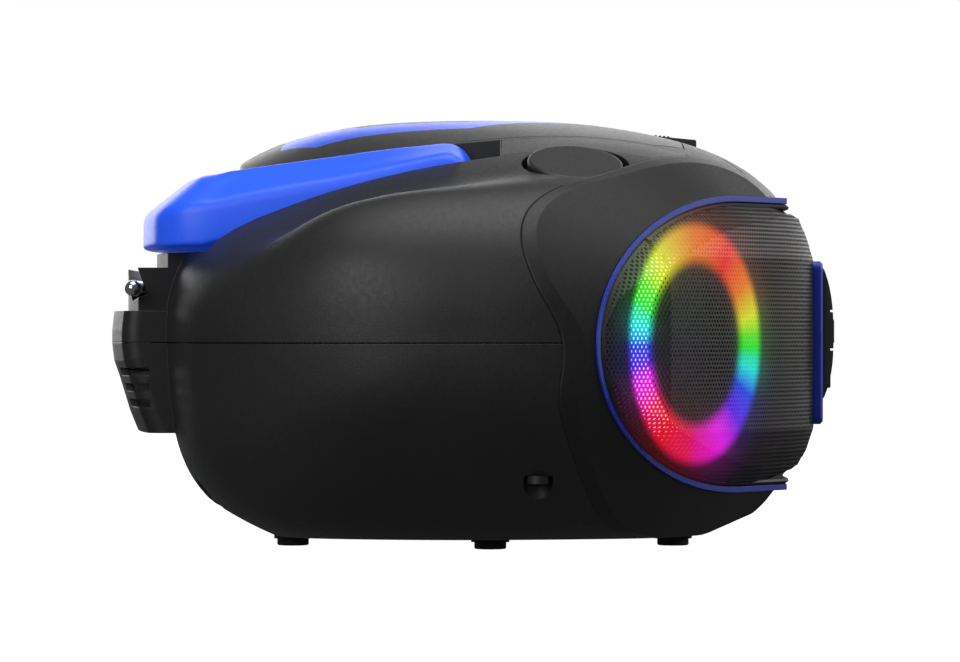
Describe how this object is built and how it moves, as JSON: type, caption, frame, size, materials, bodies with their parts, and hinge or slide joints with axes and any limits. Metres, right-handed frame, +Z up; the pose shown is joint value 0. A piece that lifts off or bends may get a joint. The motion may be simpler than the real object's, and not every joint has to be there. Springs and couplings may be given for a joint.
{
  "type": "portable cd radio",
  "caption": "Portable CD radio with two angled speaker pods, light rings, top disc lid, folding carry handle and telescopic aerial.",
  "frame": {"origin": "bottom centre of the bounding box, on the surface the feet stand on", "axes": "+X to the right seen from the front, -Y to the front, +Z up"},
  "size_m": [0.3198, 0.2392, 0.1381],
  "materials": {
    "shell": "fine moulded texture",
    "blue": "satin",
    "grille": "powder coat",
    "panel": "satin",
    "window": "smoked",
    "lcd": "display",
    "circuit_board": "solder mask",
    "steel": "plain",
    "black_parts": "moulded",
    "rubber": "matte",
    "lens": "coated",
    "white_plastic": "acetal",
    "chrome": "polished",
    "diffuser": "milky light ring",
    "magnet": "ferrite and lacquered iron",
    "cone": "paper pulp",
    "aluminium": "extruded"
  },
  "bodies": {
    "cabinet": {"upper_cabinet": "shell", "lower_cabinet": "shell", "front_cabinet": "shell", "front_trim": "blue", "left_grille": "grille", "right_grille": "grille", "console_frame": "blue", "console_panel": "panel", "display_lens": "window", "lcd_module": "lcd", "key_board": "circuit_board", "usb_socket": "steel", "audio_jacks": "black_parts", "channel_strips": "shell", "rotary_controls": "steel", "hinge_pins": "steel", "cd_well": "black_parts", "damper_mounts": "rubber", "mechanism_chassis": "steel", "guide_rods": "steel", "spindle_motor": "steel", "sled_motor": "steel", "handle_pivots": "steel", "antenna_base": "chrome", "led_rings": "diffuser", "led_boards": "circuit_board", "speaker_baskets": "steel", "speaker_magnets": "magnet", "cone_surrounds": "rubber", "ac_inlet": "black_parts", "transformer": "magnet", "main_board": "circuit_board", "heat_sink": "aluminium", "battery_contacts": "steel", "foot_pads": "rubber", "case_screws": "steel"},
    "handle": {"handle": "blue"},
    "cd_lid": {"cd_lid": "shell", "lid_trim": "blue"},
    "volume_knob": {"volume_knob": "shell"},
    "tuning_knob": {"tuning_knob": "shell"},
    "turntable": {"turntable": "black_parts"},
    "pickup_sled": {"pickup_sled": "black_parts", "pickup_lens": "lens"},
    "sled_gear": {"sled_gear": "white_plastic"},
    "antenna_arm": {"antenna_knuckle": "chrome", "antenna_outer": "chrome"},
    "antenna_middle": {"antenna_middle": "chrome"},
    "antenna_tip": {"antenna_tip": "chrome"},
    "battery_door": {"battery_door": "shell"},
    "left_cone": {"left_cone": "cone"},
    "right_cone": {"right_cone": "cone"},
    "stop_key": {"stop_key": "panel"},
    "back_key": {"back_key": "panel"},
    "play_key": {"play_key": "panel"},
    "next_key": {"next_key": "panel"},
    "mode_key": {"mode_key": "panel"},
    "power_button": {"power_button": "panel"},
    "source_key": {"source_key": "panel"},
    "light_key": {"light_key": "panel"}
  },
  "joints": [
    {"name": "handle_swing", "type": "hinge", "parent": "cabinet", "child": "handle", "pos_m": [0, 0.01255, 0.115], "axis": [1, 0, 0], "range_deg": [0, 95]},
    {"name": "lid_hinge", "type": "hinge", "parent": "cabinet", "child": "cd_lid", "pos_m": [0, 0.07255, 0.116], "axis": [-1, 0, 0], "range_deg": [0, 30]},
    {"name": "volume_turn", "type": "hinge", "parent": "cabinet", "child": "volume_knob", "pos_m": [-0.108, -0.03195, 0.1203], "axis": [-0.3785, -0.0646, 0.9233], "range_deg": [-150, 150]},
    {"name": "tuning_turn", "type": "hinge", "parent": "cabinet", "child": "tuning_knob", "pos_m": [0.108, -0.03195, 0.1203], "axis": [0.3785, -0.0646, 0.9233], "continuous": true},
    {"name": "disc_spin", "type": "hinge", "parent": "cabinet", "child": "turntable", "pos_m": [0, -0.00145, 0.118], "axis": [0, 0, 1], "continuous": true},
    {"name": "sled_slide", "type": "slide", "parent": "cabinet", "child": "pickup_sled", "axis": [1, 0, 0], "range_m": [0, 0.034]},
    {"name": "sled_gear_turn", "type": "hinge", "parent": "cabinet", "child": "sled_gear", "pos_m": [0.0295, -0.02745, 0.108], "axis": [0, 0, -1], "range_deg": [0, 492]},
    {"name": "antenna_raise", "type": "hinge", "parent": "cabinet", "child": "antenna_arm", "pos_m": [0.08, 0.10715, 0.0814], "axis": [0, 0.9397, -0.342], "range_deg": [0, 110]},
    {"name": "antenna_slide_1", "type": "slide", "parent": "antenna_arm", "child": "antenna_middle", "axis": [-1, 0, 0], "range_m": [0, 0.135]},
    {"name": "antenna_slide_2", "type": "slide", "parent": "antenna_middle", "child": "antenna_tip", "axis": [-1, 0, 0], "range_m": [0, 0.135]},
    {"name": "battery_door_slide", "type": "slide", "parent": "cabinet", "child": "battery_door", "axis": [0, -1, 0], "range_m": [0, 0.006]},
    {"name": "left_cone_move", "type": "slide", "parent": "cabinet", "child": "left_cone", "axis": [-0.5736, -0.8192, 0], "range_m": [-0.001, 0.001], "stiffness_N_per_m": 1500},
    {"name": "right_cone_move", "type": "slide", "parent": "cabinet", "child": "right_cone", "axis": [0.5736, -0.8192, 0], "range_m": [-0.001, 0.001], "stiffness_N_per_m": 1500},
    {"name": "stop_key_press", "type": "slide", "parent": "cabinet", "child": "stop_key", "axis": [0, 1, 0], "range_m": [0, 0.0008], "stiffness_N_per_m": 900},
    {"name": "back_key_press", "type": "slide", "parent": "cabinet", "child": "back_key", "axis": [0, 1, 0], "range_m": [0, 0.0008], "stiffness_N_per_m": 900},
    {"name": "play_key_press", "type": "slide", "parent": "cabinet", "child": "play_key", "axis": [0, 1, 0], "range_m": [0, 0.0008], "stiffness_N_per_m": 900},
    {"name": "next_key_press", "type": "slide", "parent": "cabinet", "child": "next_key", "axis": [0, 1, 0], "range_m": [0, 0.0008], "stiffness_N_per_m": 900},
    {"name": "mode_key_press", "type": "slide", "parent": "cabinet", "child": "mode_key", "axis": [0, 1, 0], "range_m": [0, 0.0008], "stiffness_N_per_m": 900},
    {"name": "power_button_press", "type": "slide", "parent": "cabinet", "child": "power_button", "axis": [0, 1, 0], "range_m": [0, 0.0008], "stiffness_N_per_m": 900},
    {"name": "source_key_press", "type": "slide", "parent": "cabinet", "child": "source_key", "axis": [0, 1, 0], "range_m": [0, 0.0008], "stiffness_N_per_m": 900},
    {"name": "light_key_press", "type": "slide", "parent": "cabinet", "child": "light_key", "axis": [0, 1, 0], "range_m": [0, 0.0008], "stiffness_N_per_m": 900}
  ],
  "couplings": [
    {"joint": "sled_gear_turn", "follows": "sled_slide", "rad_per_m": 250}
  ]
}
